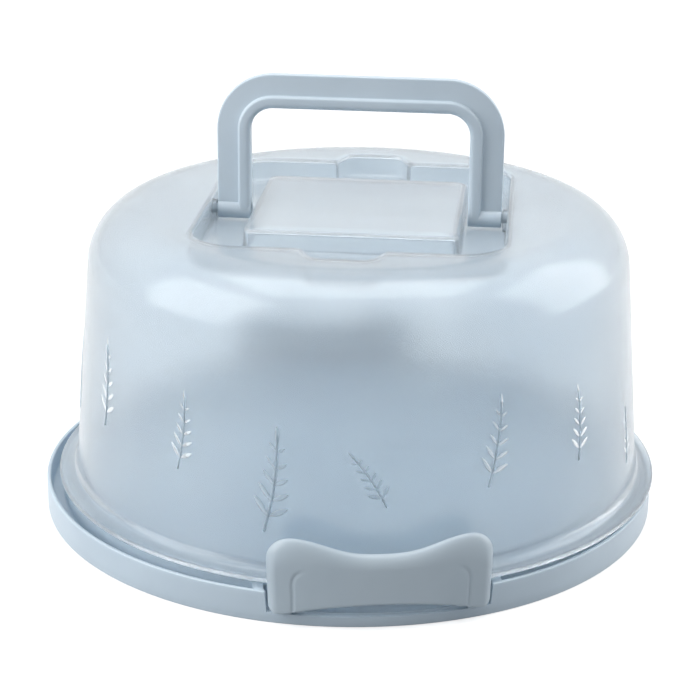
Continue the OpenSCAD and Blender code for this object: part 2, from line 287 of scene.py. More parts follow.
# A maths node; each term is a socket or a number
def reckon(tree, operation, *terms):
    node = addNode(tree, "ShaderNodeMath", {"operation": operation})
    for i, term in enumerate(terms):
        if isinstance(term, (int, float)):
            node.inputs[i].default_value = term
        else:
            tree.links.new(term, node.inputs[i])
    return node.outputs[0]


def vector(tree, **parts):
    return addNode(tree, "ShaderNodeCombineXYZ", None, parts).outputs[0]


def positions(tree):
    spot = addNode(tree, "GeometryNodeInputPosition").outputs[0]
    return addNode(tree, "ShaderNodeSeparateXYZ", None, {0: spot}).outputs


# Sets the points' Position or adds an Offset, whichever is given
def movePoints(tree, geometry, **where):
    links = {"Geometry": geometry, **where}
    return addNode(tree, "GeometryNodeSetPosition", None, links).outputs[0]


# Copies a piece onto every point, turned by fixed angles or by a linked Rotation
def copyOnto(tree, points, piece, turn=(0, 0, 0), **how):
    links = {"Points": points, "Instance": piece, **how}
    copies = addNode(tree, "GeometryNodeInstanceOnPoints", {"Rotation": turn}, links)
    return addNode(tree, "GeometryNodeRealizeInstances", None, {0: copies.outputs[0]}).outputs[0]


# Gives the finished geometry its material and hands it out of the tree
def paintTree(tree, geometry, material):
    links = {"Geometry": geometry, "Material": material}
    painted = addNode(tree, "GeometryNodeSetMaterial", None, links)
    addNode(tree, "NodeGroupOutput", None, {0: painted.outputs[0]})


# Runs a tree with the given values and returns its result as a plain piece
def growPiece(name, tree, values, material):
    host = addObject(name + "Host", bpy.data.meshes.new(name + "Seed"))
    modifier = host.modifiers.new("grow", "NODES")
    modifier.node_group = tree
    for item in tree.interface.items_tree:
        if item.item_type == "SOCKET" and item.in_out == "INPUT" and item.name in values:
            modifier[item.identifier] = values[item.name]
    view = bpy.context.evaluated_depsgraph_get()
    mesh = bpy.data.meshes.new_from_object(host.evaluated_get(view), depsgraph=view)
    bpy.data.objects.remove(host)
    mesh.name = name
    if not mesh.materials:
        mesh.materials.append(material)
    return addObject(name, mesh)


# Tray: one moulding, turned from a section, with the rim cut away at both latches

traySizes = {
    "rimRadius": 152.5,
    "rimTop": 15.0,
    "rimRound": 0.7,
    "rimRows": (12.0, 9.0, 6.5),  # heights on the rim's outside
    "footOuter": 0.6,  # rounding of the rim's lower edge, outside and inside
    "footInner": 0.5,
    "wall": 2.0,
    "lip": 5.0,  # what is left of the rim under a latch
    "fillet": 1.2,
    "seatRound": 0.8,
    "ridgeRound": 1.0,
    "seatRadius": 143.5,
    "seatTop": 16.5,
    "ridgeRadius": 134.2,
    "ridgeInner": 131.2,
    "ridgeTop": 19.7,
    "platform": 13.0,
    "platformRows": (20, 45, 70, 95, 115),
    "footRing": 60.0,
    "footThick": 1.8,
    "footRound": 0.4,
    "cutHalf": 50.4,  # half width of the gap for a latch, at its foot
    "cutFlare": 0.8,
    "cutCorner": 0.8,
    "cutColumns": (-0.0005, 0.0001, 0.0028, 0.0056, 0.0066, 0.0082, 0.0112),  # from the cut, radians
    "cheek": 4.7,
    "cheekInset": 1.1,
    "cheekSink": 1.0,
    "lugX": 39.4,
    "lugThick": 4.0,
    "lugRadius": 3.3,
    "lugFoot": 3,  # how much wider the lug is below, towards the seat
    "lugSink": 0.6,
    "boreRadius": 1.9,
    "hingeY": 143.5,
    "hingeZ": 8.8,
    "ribs": 12,
    "ribThick": 1.8,
    "ribSink": 1.0,
    "lineWidth": 1.4,
    "lineHeight": 0.5,
    "lineShort": 0.4,
}


def traySection(s):
    t, rim, lip, deck, ring = s["wall"], s["rimRadius"], s["lip"], s["platform"], s["footRing"]
    fillet, ridge, seat, edge = s["fillet"], s["ridgeRound"], s["seatRound"], s["rimRound"]
    outer, inner, toe = s["footOuter"], s["footInner"], s["footRound"]
    top = [(0.0, deck)]
    top += [(r, deck) for r in (*s["platformRows"], s["ridgeInner"] - fillet)]
    top += arc(s["ridgeInner"] - fillet, deck + fillet, fillet, -90, 0, 4)[1:]
    top += arc(s["ridgeInner"] + ridge, s["ridgeTop"] - ridge, ridge, 180, 90, 4)
    top += arc(s["ridgeRadius"] - ridge, s["ridgeTop"] - ridge, ridge, 90, 0, 4)
    top += arc(s["ridgeRadius"] + seat, s["seatTop"] + seat, seat, 180, 270, 3)
    top += arc(s["seatRadius"] - seat, s["seatTop"] - seat, seat, 90, 0, 4)
    top += arc(s["seatRadius"] + fillet, lip + fillet, fillet, 180, 270, 4)
    top += arc(rim - t - fillet, lip + fillet, fillet, -90, 0, 4)
    rimPart = [(rim - t, lip + 3 * i) for i in range(1, 3)]
    rimPart += arc(rim - t + edge, s["rimTop"] - edge, edge, 180, 90, 4)
    rimPart += arc(rim - edge, s["rimTop"] - edge, edge, 90, 0, 4)
    rimPart += [(rim, z) for z in s["rimRows"]]
    low = arc(rim - outer, outer, outer, 0, -90, 3)
    low += arc(rim - t + inner, inner, inner, 270, 180, 3)
    low += [(rim - t, lip - t), (s["seatRadius"] - t, lip - t)]
    low += [(s["seatRadius"] - t, s["seatTop"] - t), (s["ridgeInner"] + t, s["seatTop"] - t)]
    low += [(s["ridgeInner"] + t, deck - t), (ring + s["footThick"], deck - t)]
    low += [(ring + s["footThick"], toe), (ring + s["footThick"] - toe, 0.0), (ring + toe, 0.0)]
    low += [(ring, toe), (ring, deck - t), (0.0, deck - t)]
    return top, rimPart, low


# Height that the rim may reach at an angle: full, or only the lip inside a latch's gap
def rimLimit(s, angle):
    across = abs(math.sin(angle)) * s["rimRadius"] - s["cutHalf"]
    flare, corner = s["cutFlare"], s["cutCorner"]
    if across < 0:
        return s["lip"]
    if across < flare:
        return s["lip"] + (s["rimTop"] - corner - s["lip"]) * across / flare
    across -= flare
    if across > corner:
        return s["rimTop"]
    return s["rimTop"] - corner + math.sqrt(corner**2 - (corner - across) ** 2)


def makeTray(s):
    edge = math.asin(s["cutHalf"] / s["rimRadius"])
    quarter = stretch(0, edge - 0.001, 14) + [edge + past for past in s["cutColumns"]]
    quarter += stretch(edge + 0.02, math.pi / 2, 46)
    half = quarter + [math.pi / 2] + [math.pi - a for a in quarter[:0:-1]]
    angles = half + [a + math.pi for a in half]
    top, rimPart, low = traySection(s)
    rings = []
    for part, cut in ((top, False), (rimPart, True), (low, False)):
        for r, z in part:
            if r == 0:
                rings.append([(0, 0, z)])
                continue
            ring = []
            for a in angles:
                height = min(z, rimLimit(s, a)) if cut else z
                ring.append((r * math.sin(a), -r * math.cos(a), height))
            rings.append(ring)
    shape = [[], []]
    loft(shape, rings)
    return makePiece("tray_shell", *shape, trayPlastic, 32)


# A hinge lug with its bore, standing in the channel beside the latch's knuckle
def makeLug(s, side):
    outer, bore = [], []
    sides = 48
    for i in range(sides):
        a = 2 * math.pi * i / sides
        c, h = math.cos(a), math.sin(a)
        reach = s["lugRadius"]
        if h < 0:
            foot = s["lugRadius"] + s["lugFoot"] if c > 0 else s["lugRadius"]
            reach = min(foot / max(abs(c), 1e-6), (s["hingeZ"] - s["lip"] + s["lugSink"]) / -h)
        outer.append((reach * c, reach * h))
        bore.append((s["boreRadius"] * c, s["boreRadius"] * h))
    near = side * s["lugX"]
    far = side * (s["lugX"] + s["lugThick"])
    rings = []
    for x, outline in ((near, bore), (near, outer), (far, outer), (far, bore), (near, bore)):
        rings.append([(x, y - s["hingeY"], z + s["hingeZ"]) for y, z in outline])
    shape = [[], []]
    loft(shape, rings)
    piece = makePiece("lug", *shape, trayPlastic)
    closed = bmesh.new()
    closed.from_mesh(piece.data)
    bmesh.ops.remove_doubles(closed, verts=closed.verts, dist=1e-6)
    bmesh.ops.recalc_face_normals(closed, faces=closed.faces)
    closed.to_mesh(piece.data)
    closed.free()
    return piece


# Radial ribs under the platform, one box repeated round a circle
def ribTree():
    tree, given = newTree(
        "radialRibs",
        [
            ("Count", "NodeSocketInt", 12),
            ("Inner Radius", "NodeSocketFloat", 0.06),
            ("Length", "NodeSocketFloat", 0.07),
            ("Thickness", "NodeSocketFloat", 0.0018),
            ("Low", "NodeSocketFloat", 0.005),
            ("High", "NodeSocketFloat", 0.012),
            ("Material", "NodeSocketMaterial", None),
        ],
    )
    copyCount = {"Vertices": given["Count"]}
    circle = addNode(tree, "GeometryNodeMeshCircle", {"Radius": 0.001}, copyCount)
    height = reckon(tree, "SUBTRACT", given["High"], given["Low"])
    size = vector(tree, X=given["Length"], Y=given["Thickness"], Z=height)
    box = addNode(tree, "GeometryNodeMeshCube", None, {"Size": size})
    halfLength = reckon(tree, "MULTIPLY", given["Length"], 0.5)
    outward = reckon(tree, "ADD", halfLength, given["Inner Radius"])
    middle = reckon(tree, "MULTIPLY", reckon(tree, "ADD", given["High"], given["Low"]), 0.5)
    shift = vector(tree, X=outward, Z=middle)
    placed = addNode(
        tree,
        "GeometryNodeTransform",
        None,
        {"Geometry": box.outputs["Mesh"], "Translation": shift},
    )
    centred = addNode(tree, "GeometryNodeSetPosition", None, {"Geometry": circle.outputs["Mesh"]})
    centred.inputs["Position"].default_value = (0, 0, 0)
    index = addNode(tree, "GeometryNodeInputIndex").outputs[0]
    share = reckon(tree, "DIVIDE", reckon(tree, "ADD", index, 0.5), given["Count"])
    spin = vector(tree, Z=reckon(tree, "MULTIPLY", share, 2 * math.pi))
    ribs = copyOnto(tree, centred.outputs[0], placed.outputs[0], Rotation=spin)
    paintTree(tree, ribs, given["Material"])
    return tree


def buildTray(s):
    tray = makeTray(s)
    parts = []
    near = s["cutHalf"] + s["cutFlare"]
    far = near + s["cheek"]
    front = s["cheekInset"] - math.sqrt(s["rimRadius"] ** 2 - far**2)
    rear = s["cheekSink"] - math.sqrt(s["seatRadius"] ** 2 - far**2)
    for turn in (0, 180):
        for side in (-1, 1):
            low = (min(side * near, side * far), front, s["lip"] - 1)
            high = (max(side * near, side * far), rear, s["rimTop"] - 0.5)
            parts.append(turnPiece(roundBlock("cheek", low, high, 0.5, trayPlastic), turn))
            parts.append(turnPiece(makeLug(s, side), turn))
    half = s["lineWidth"] / 2
    reach = s["ridgeInner"] - s["lineShort"]
    low = (-half, -reach, s["platform"] - 0.5)
    high = (half, reach, s["platform"] + s["lineHeight"])
    parts.append(roundBlock("line", low, high, 0.3, trayPlastic))
    ribs = growPiece(
        "ribs",
        ribTree(),
        {
            "Count": s["ribs"],
            "Inner Radius": (s["footRing"] + s["footThick"] / 2) * mm,
            "Length": (s["ridgeInner"] + s["wall"] - s["footRing"] - s["ribSink"]) * mm,
            "Thickness": s["ribThick"] * mm,
            "Low": s["lip"] * mm,
            "High": (s["platform"] - s["ribSink"]) * mm,
            "Material": trayPlastic,
        },
        trayPlastic,
    )
    parts.append(ribs)
    tray = joinPieces(tray, *parts)
    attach(tray, "tray")
    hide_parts("tray")


buildTray(traySizes)
print("tray made")


# Lid: one closed shell from the island's middle, over the outside, round the
# flange's edge and back along the cavity

lidSizes = {
    "turn": -11.0,  # degrees on the tray
    "shift": 3.8,
    "columns": 420,
    "flangeRadius": 149.9,
    "flangeZ": 16.8,
    "flangeThick": 2.1,
    "domeRadius": 141.2,  # at the flange's top
    "draft": 4.7,
    "footFillet": 6.0,
    "top": 151.5,
    "crown": 28.0,
    "wall": 1.8,
    "islandTop": 150.3,
    "recessFloor": 140.5,
    "recessX": 72.2,
    "recessY": 77.0,
    "recessCorner": 22.0,
    "notchHalf": 19.0,
    "notchEndHalf": 13.0,
    "notchY": 91.0,
    "notchJoint": 3.0,
    "notchCorner": 6.0,
    "islandX": 50.6,
    "islandY": 49.1,
    "islandCorner": 6.0,
    "rimRound": 1.6,
    "floorRound": 1.4,
    "lean": 0.35,  # how far the recess's walls stand in from its outline, at the floor
    "cavityRound": 1.5,
    "boss": 4.5,
    "earSink": 0.9,
    "earBevel": 0.4,
    "earTaper": 0.88,
    "pivotZ": 146.0,
    "handleHalf": 69.5,
    "bossGap": 0.4,
}


# A closed outline with rounded corners, as evenly spaced points with their normals.
# Corners are (x, y, radius), counter-clockwise, from the middle of the front side.
def roundOutline(corners, count):
    dense = [corners[0][:2]]
    for i in range(1, len(corners) - 1):
        (ax, ay, _), (bx, by, r), (cx, cy, _) = corners[i - 1], corners[i], corners[i + 1]
        intoA = Vector((ax - bx, ay - by)).normalized()
        intoC = Vector((cx - bx, cy - by)).normalized()
        opening = intoA.angle(intoC)
        cut = r / math.tan(opening / 2)
        middle = Vector((bx, by)) + (intoA + intoC).normalized() * (r / math.sin(opening / 2))
        first = Vector((bx, by)) + intoA * cut - middle
        last = Vector((bx, by)) + intoC * cut - middle
        sweep = math.atan2(first.x * last.y - first.y * last.x, first.dot(last))
        for k in range(25):
            c, h = math.cos(sweep * k / 24), math.sin(sweep * k / 24)
            across, along = first.x * c - first.y * h, first.x * h + first.y * c
            dense.append((middle.x + across, middle.y + along))
    dense.append(corners[-1][:2])
    marks = [0.0]
    for p, q in zip(dense, dense[1:]):
        marks.append(marks[-1] + math.dist(p, q))
    spots = []
    k = 0
    for i in range(count):
        along = marks[-1] * i / count
        while marks[k + 1] < along:
            k += 1
        share = (along - marks[k]) / max(marks[k + 1] - marks[k], 1e-9)
        spots.append(Vector(dense[k]).lerp(Vector(dense[k + 1]), share))
    outline = []
    for i, p in enumerate(spots):
        ahead = (spots[(i + 1) % count] - spots[i - 1]).normalized()
        outline.append((p, Vector((ahead.y, -ahead.x))))
    return outline


# All four quarters of a mirrored outline, given the corners of its right front quarter
def mirrored(front, quarter):
    right = quarter + [(x, -y, r) for x, y, r in quarter[::-1]]
    whole = right + [(-x, y, r) for x, y, r in right[::-1]]
    return [(0, front, 0)] + whole + [(0, front, 0)]


def lidRings(s):
    count = s["columns"]
    recessQuarter = [
        (s["notchEndHalf"], -s["notchY"], s["notchCorner"]),
        (s["notchHalf"], -s["recessY"], s["notchJoint"]),
        (s["recessX"], -s["recessY"], s["recessCorner"]),
    ]
    recess = roundOutline(mirrored(-s["notchY"], recessQuarter), count)
    islandQuarter = [(s["islandX"], -s["islandY"], s["islandCorner"])]
    island = roundOutline(mirrored(-s["islandY"], islandQuarter), count)
    rays = [p.normalized() for p, _ in recess]
    tilt = math.radians(s["draft"])
    slope = math.tan(tilt)
    flangeTop = s["flangeZ"] + s["flangeThick"]
    crownZ = s["top"] - s["crown"]
    crownX = s["domeRadius"] - (crownZ - flangeTop) * slope - s["crown"] / math.cos(tilt)
    rings = []

    def outline(curve, grow, z):
        rings.append([(*(p + n * grow), z) for p, n in curve])

    def circle(r, z):
        rings.append([(*(ray * r), z) for ray in rays])

    def between(curveA, growA, curveB, growB, z, steps):
        for i in range(1, steps):
            t = i / steps
            ring = []
            for (p, n), (q, m) in zip(curveA, curveB):
                ring.append((*((p + n * growA) * (1 - t) + (q + m * growB) * t), z))
            rings.append(ring)

    def toPole(curve, grow, z, shares):
        for share in shares:
            rings.append([(*((p + n * grow) * share), z) for p, n in curve])

    edge, foot, floor, lean = s["rimRound"], s["floorRound"], s["recessFloor"], s["lean"]
    circlePlane = [(ray * crownX, Vector((0, 0))) for ray in rays]
    rings.append([(0, 0, s["islandTop"])])
    toPole(island, -edge, s["islandTop"], (0.2, 0.45, 0.7, 0.88))
    for grow, z in arc(-edge, s["islandTop"] - edge, edge, 90, 0, 5):
        outline(island, grow, z)
    for x, z in arc(foot + lean, floor + foot, foot, 180, 270, 4):
        outline(island, x, z)
    between(island, foot + lean, recess, -foot - lean, floor, 5)
    for x, z in arc(-foot - lean, floor + foot, foot, 270, 360, 4):
        outline(recess, x, z)
    for x, z in arc(edge, s["top"] - edge, edge, 180, 90, 5):
        outline(recess, x, z)
    between(recess, edge, circlePlane, 0, s["top"], 6)
    for x, z in arc(crownX, crownZ, s["crown"], 90, s["draft"], 18):
        circle(x, z)
    wallFoot = flangeTop + s["footFillet"] * (1 - math.sin(tilt))
    wallTop = crownZ + s["crown"] * math.sin(tilt)
    for z in stretch(wallTop, wallFoot, 22)[1:]:
        circle(s["domeRadius"] - (z - flangeTop) * slope, z)
    filletX = s["domeRadius"] - s["footFillet"] * slope + s["footFillet"] / math.cos(tilt)
    for x, z in arc(filletX, flangeTop + s["footFillet"], s["footFillet"], 180 + s["draft"], 270, 7):
        circle(x, z)
    lipRound = s["flangeThick"] / 2
    for x, z in arc(s["flangeRadius"] - lipRound, s["flangeZ"] + lipRound, lipRound, 90, -90, 8):
        circle(x, z)
    inner, bend = s["wall"], s["cavityRound"]
    innerFoot = s["domeRadius"] - inner / math.cos(tilt) - (s["flangeZ"] - flangeTop) * slope
    circle(innerFoot + 1.0, s["flangeZ"])
    circle(innerFoot, s["flangeZ"] + 1.0)
    innerTop = crownZ + (s["crown"] - inner) * math.sin(tilt)
    for z in stretch(s["flangeZ"] + 4, innerTop, 10):
        circle(s["domeRadius"] - (z - flangeTop) * slope - inner / math.cos(tilt), z)
    for x, z in arc(crownX, crownZ, s["crown"] - inner, s["draft"], 90, 12):
        circle(x, z)
    ceiling, under = s["top"] - inner, floor - inner
    between(circlePlane, 0, recess, inner + bend, ceiling, 4)
    for x, z in arc(inner + bend, ceiling - bend, bend, 90, 180, 3):
        outline(recess, x, z)
    for x, z in arc(inner - bend, under + bend, bend, 0, -90, 3):
        outline(recess, x, z)
    between(recess, inner - bend, island, -inner + bend, under, 4)
    for x, z in arc(-inner + bend, under + bend, bend, 270, 180, 3):
        outline(island, x, z)
    for x, z in arc(-inner - bend, s["islandTop"] - inner - bend, bend, 0, 90, 3):
        outline(island, x, z)
    toPole(island, -inner - bend, s["islandTop"] - inner, (0.85, 0.6, 0.3))
    rings.append([(0, 0, s["islandTop"] - inner)])
    return rings


# The two ears in the recess that hold the handle's trunnions
def makeEar(s, side):
    foot = s["recessFloor"] - s["earSink"]
    dome = [(-x, z) for x, z in arc(0, s["pivotZ"], s["boss"], 0, 180, 16)]
    outline = [(-s["boss"], foot)] + dome + [(s["boss"], foot)]
    middle = s["pivotZ"] - 1
    near = s["handleHalf"] + s["bossGap"]
    far = s["recessX"] + s["earSink"]
    rings = []
    for x, shrink in ((near, s["earTaper"]), (near + s["earBevel"], 1.0), (far, 1.0)):
        rings.append([(side * x, y * shrink, middle + (z - middle) * shrink) for y, z in outline])
    shape = [[], []]
    loft(shape, rings, capped=True)
    return makePiece("ear", *shape, lidPlastic)


sprigSizes = {
    "Sprigs": 17,
    "Leaf Pairs": 5,
    "Stem Length": 36 * mm,
    "Leaf Length": 9 * mm,
    "Leaf Width": 2.2 * mm,
    "Relief": 0.12 * mm,
    "Band Height": 48 * mm,
    "Seed": 5,
}

# What all sprigs have in common: lengths in metres, angles in radians, and shares
sprigHabit = {
    "taper": -2.4,  # narrows a leaf towards both ends
    "shorten": -0.13,  # each pair against the one below
    "leans": (math.radians(-38), math.radians(-142)),
    "tip": (0.8, 1.0, 0.8),
    "tipHeight": 0.9,
    "stemRadius": 0.0005,
    "bend": 0.006,
    "strayLow": (-0.006, 0, -0.014),
    "strayHigh": (0.006, 0, 0.02),
    "swing": (-0.5, 0.5),
    "scale": (0.75, 1.25),
    "flatten": 0.8,
}


# A band of small raised sprigs round the dome's wall. They are laid out flat, x along
# the wall and z up, and then wrapped on the cone of the wall.
def sprigTree(habit):
    tree, given = newTree(
        "sprigBand",
        [
            ("Sprigs", "NodeSocketInt", 14),
            ("Leaf Pairs", "NodeSocketInt", 4),
            ("Stem Length", "NodeSocketFloat", 0.03),
            ("Leaf Length", "NodeSocketFloat", 0.01),
            ("Leaf Width", "NodeSocketFloat", 0.004),
            ("Relief", "NodeSocketFloat", 0.0004),
            ("Band Height", "NodeSocketFloat", 0.05),
            ("Base Radius", "NodeSocketFloat", 0.14),
            ("Slope", "NodeSocketFloat", 0.08),
            ("Seed", "NodeSocketInt", 3),
            ("Material", "NodeSocketMaterial", None),
        ],
    )
    ball = addNode(tree, "GeometryNodeMeshUVSphere", {"Segments": 10, "Rings": 6, "Radius": 0.5})
    spot = positions(tree)
    # the ball's poles lie along z: turned, they become the leaf's pointed ends
    away = reckon(tree, "MULTIPLY", spot["Z"], spot["Z"])
    narrow = reckon(tree, "MULTIPLY_ADD", away, habit["taper"], 1.0)
    leafX = reckon(tree, "MULTIPLY", reckon(tree, "ADD", spot["Z"], 0.5), given["Leaf Length"])
    leafY = reckon(tree, "MULTIPLY", spot["Y"], reckon(tree, "MULTIPLY", given["Relief"], 2.0))
    leafWide = reckon(tree, "MULTIPLY", spot["X"], given["Leaf Width"])
    leafZ = reckon(tree, "MULTIPLY", leafWide, narrow)
    leaf = movePoints(tree, ball.outputs["Mesh"], Position=vector(tree, X=leafX, Y=leafY, Z=leafZ))
    gaps = reckon(tree, "ADD", given["Leaf Pairs"], 1.0)
    step = vector(tree, Z=reckon(tree, "DIVIDE", given["Stem Length"], gaps))
    joints = addNode(
        tree,
        "GeometryNodeMeshLine",
        None,
        {"Count": given["Leaf Pairs"], "Start Location": step, "Offset": step},
    ).outputs[0]
    index = addNode(tree, "GeometryNodeInputIndex").outputs[0]
    shrink = reckon(tree, "MULTIPLY_ADD", index, habit["shorten"], 1.0)
    taper = vector(tree, X=shrink, Y=shrink, Z=shrink)
    parts = [copyOnto(tree, joints, leaf, (0, lean, 0), Scale=taper) for lean in habit["leans"]]
    tipPlace = vector(tree, Z=reckon(tree, "MULTIPLY", given["Stem Length"], habit["tipHeight"]))
    tip = addNode(
        tree,
        "GeometryNodeTransform",
        {"Rotation": (0, math.radians(-90), 0), "Scale": habit["tip"]},
        {"Geometry": leaf, "Translation": tipPlace},
    )
    parts.append(tip.outputs[0])
    stemLine = addNode(
        tree,
        "GeometryNodeMeshLine",
        {"mode": "END_POINTS", "Count": 9},
        {"Offset": vector(tree, Z=given["Stem Length"])},
    ).outputs[0]
    stemCurve = addNode(tree, "GeometryNodeMeshToCurve", None, {0: stemLine}).outputs[0]
    girth = {"Resolution": 6, "Radius": habit["stemRadius"]}
    stemRound = addNode(tree, "GeometryNodeCurvePrimitiveCircle", girth).outputs[0]
    stem = addNode(
        tree,
        "GeometryNodeCurveToMesh",
        {"Fill Caps": True},
        {"Curve": stemCurve, "Profile Curve": stemRound},
    )
    parts.append(stem.outputs[0])
    joined = addNode(tree, "GeometryNodeJoinGeometry")
    for part in parts:
        tree.links.new(part, joined.inputs[0])
    # each sprig bends a little to one side
    along = reckon(tree, "DIVIDE", positions(tree)["Z"], given["Stem Length"])
    bend = reckon(tree, "MULTIPLY", reckon(tree, "MULTIPLY", along, along), habit["bend"])
    sprig = movePoints(tree, joined.outputs[0], Offset=vector(tree, X=bend))
    wayRound = reckon(tree, "MULTIPLY", given["Base Radius"], 2 * math.pi)
    spacing = reckon(tree, "DIVIDE", wayRound, given["Sprigs"])
    row = addNode(
        tree,
        "GeometryNodeMeshLine",
        None,
        {
            "Count": given["Sprigs"],
            "Start Location": vector(tree, Z=given["Band Height"]),
            "Offset": vector(tree, X=spacing),
        },
    ).outputs[0]
    stray = addNode(
        tree,
        "FunctionNodeRandomValue",
        {"data_type": "FLOAT_VECTOR", 0: habit["strayLow"], 1: habit["strayHigh"]},
        {"Seed": given["Seed"]},
    ).outputs[0]
    row = movePoints(tree, row, Offset=stray)
    draws = []
    for later, (least, most) in ((1.0, habit["swing"]), (2.0, habit["scale"])):
        draw = addNode(
            tree,
            "FunctionNodeRandomValue",
            {"data_type": "FLOAT", 2: least, 3: most},
            {"Seed": reckon(tree, "ADD", given["Seed"], later)},
        )
        draws.append(draw.outputs[1])
    swing, size = draws
    scale = vector(tree, X=size, Y=reckon(tree, "MULTIPLY", size, habit["flatten"]), Z=size)
    flat = copyOnto(tree, row, sprig, Rotation=vector(tree, Y=swing), Scale=scale)
    spot = positions(tree)
    angle = reckon(tree, "DIVIDE", spot["X"], given["Base Radius"])
    lost = reckon(tree, "MULTIPLY", spot["Z"], given["Slope"])
    proud = reckon(tree, "ADD", given["Base Radius"], spot["Y"])
    radius = reckon(tree, "SUBTRACT", proud, lost)
    wrap = vector(
        tree,
        X=reckon(tree, "MULTIPLY", reckon(tree, "SINE", angle), radius),
        Y=reckon(tree, "MULTIPLY", reckon(tree, "COSINE", angle), radius),
        Z=spot["Z"],
    )
    wrapped = movePoints(tree, flat, Position=wrap)
    smooth = addNode(tree, "GeometryNodeSetShadeSmooth", None, {0: wrapped})
    paintTree(tree, smooth.outputs[0], given["Material"])
    return tree


def buildLid(s):
    shape = [[], []]
    loft(shape, lidRings(s))
    lid = makePiece("lid_shell", *shape, lidPlastic, 60)
    lid = joinPieces(lid, makeEar(s, -1), makeEar(s, 1))
    turnPiece(lid, s["turn"], (s["shift"], 0, 0))
    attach(lid, "lid")
    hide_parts("lid")
    slope = math.tan(math.radians(s["draft"]))
    base = s["domeRadius"] + (s["flangeZ"] + s["flangeThick"]) * slope
    values = dict(sprigSizes)
    values.update({"Base Radius": base * mm, "Slope": slope, "Material": reliefPlastic})
    relief = growPiece("lid_sprigs", sprigTree(sprigHabit), values, reliefPlastic)
    turnPiece(relief, s["turn"], (s["shift"], 0, 0))
    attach(relief, "lid")


buildLid(lidSizes)
print("lid made")


# Handle: a thin web outside and a deep rim inside, swept along a round-cornered
# arch, with barrels at its feet

handleSizes = {
    "half": 69.5,
    "rise": 68.0,
    "band": 10.5,
    "rib": 6.0,
    "depth": 4.0,
    "ribDepth": 9.0,
    "corner": 27.5,
    "edge": 0.9,
    "rimEdge": 1.2,
    "gripEdge": 2.4,
    "webEdge": 0.5,  # where the web meets the rim
    "barrel": 4.5,
    "barrelRound": 0.7,
    "barrelBevel": 0.5,
    "trunnion": 2.0,
    "trunnionLength": 3.0,
    "trunnionBevel": 0.3,
    "pivotZ": 146.0,
}


# The section as (distance inwards from the outer edge, depth) with rounded corners
def handleSection(s):
    web, rim = s["depth"] / 2, s["ribDepth"] / 2
    band, wide = s["band"], s["band"] + s["rib"]
    corners = [
        (0, 0, 0),
        (0, web, s["edge"]),
        (band, web, s["webEdge"]),
        (band, rim, s["rimEdge"]),
        (wide, rim, s["gripEdge"]),
    ]
    corners += [(across, -depth, r) for across, depth, r in corners[::-1]]
    points = []
    for i in range(1, len(corners) - 1):
        (ax, ay, _), (bx, by, r), (cx, cy, _) = corners[i - 1], corners[i], corners[i + 1]
        a = Vector((ax - bx, ay - by)).normalized()
        c = Vector((cx - bx, cy - by)).normalized()
        middle = Vector((bx, by)) + (a + c) * r
        for k in range(6):
            t = math.pi / 2 * k / 5
            spot = middle - c * r * math.cos(t) - a * r * math.sin(t)
            points.append((spot.x, spot.y))
    return points


def buildHandle(s, lid):
    section = handleSection(s)
    spine = []  # (outer x, outer z), inward direction
    x, top, r = s["half"], s["rise"], s["corner"]
    for z in stretch(0, top - r, 10):
        spine.append(((-x, z), (1, 0)))
    for k in range(19):
        a = math.pi - math.pi / 2 * k / 18
        out = (math.cos(a), math.sin(a))
        spine.append(((-x + r + r * out[0], top - r + r * out[1]), (-out[0], -out[1])))
    leg = spine[::-1]
    for k in range(1, 12):
        spine.append(((-x + r + 2 * (x - r) * k / 12, top), (0, -1)))
    spine += [((-px, pz), (-ix, iz)) for (px, pz), (ix, iz) in leg]
    rings = []
    for (px, pz), (ix, iz) in spine:
        rings.append([(px + ix * u, v, s["pivotZ"] + pz + iz * u) for u, v in section])
    shape = [[], []]
    loft(shape, rings, capped=True)
    handle = makePiece("handle_bail", *shape, handlePlastic, 40)
    inner = x - s["band"] - s["rib"]
    barrel, shoulder, bevel = s["barrel"], s["barrelRound"], s["barrelBevel"]
    profile = [(0, inner)]
    for a in stretch(0, math.pi / 2, 4):
        out, ahead = shoulder * math.sin(a), shoulder * math.cos(a)
        profile.append((barrel - shoulder + out, inner + shoulder - ahead))
    profile += [(barrel, inner + shoulder), (barrel, x - bevel), (barrel - bevel, x)]
    pin, pinEnd, tip = s["trunnion"], x + s["trunnionLength"], s["trunnionBevel"]
    profile += [(pin, x), (pin, pinEnd - tip), (pin - tip, pinEnd), (0, pinEnd)]
    turns = [2 * math.pi * k / 40 for k in range(40)]
    feet = []
    for side in (-1, 1):
        rings = []
        for radius, px in profile:
            if radius == 0:
                rings.append([(side * px, 0, s["pivotZ"])])
                continue
            spots = [(radius * math.cos(a), radius * math.sin(a)) for a in turns]
            rings.append([(side * px, y, s["pivotZ"] + z) for y, z in spots])
        shape = [[], []]
        loft(shape, rings)
        feet.append(makePiece("barrel", *shape, handlePlastic, 40))
    handle = joinPieces(handle, *feet)
    turnPiece(handle, lid["turn"], (lid["shift"], 0, 0))
    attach(handle, "handle")
    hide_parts("handle")


buildHandle(handleSizes, lidSizes)
print("handle made")


# Latches: a curved shell with two lobes, hollow behind, with a hook and two knuckles

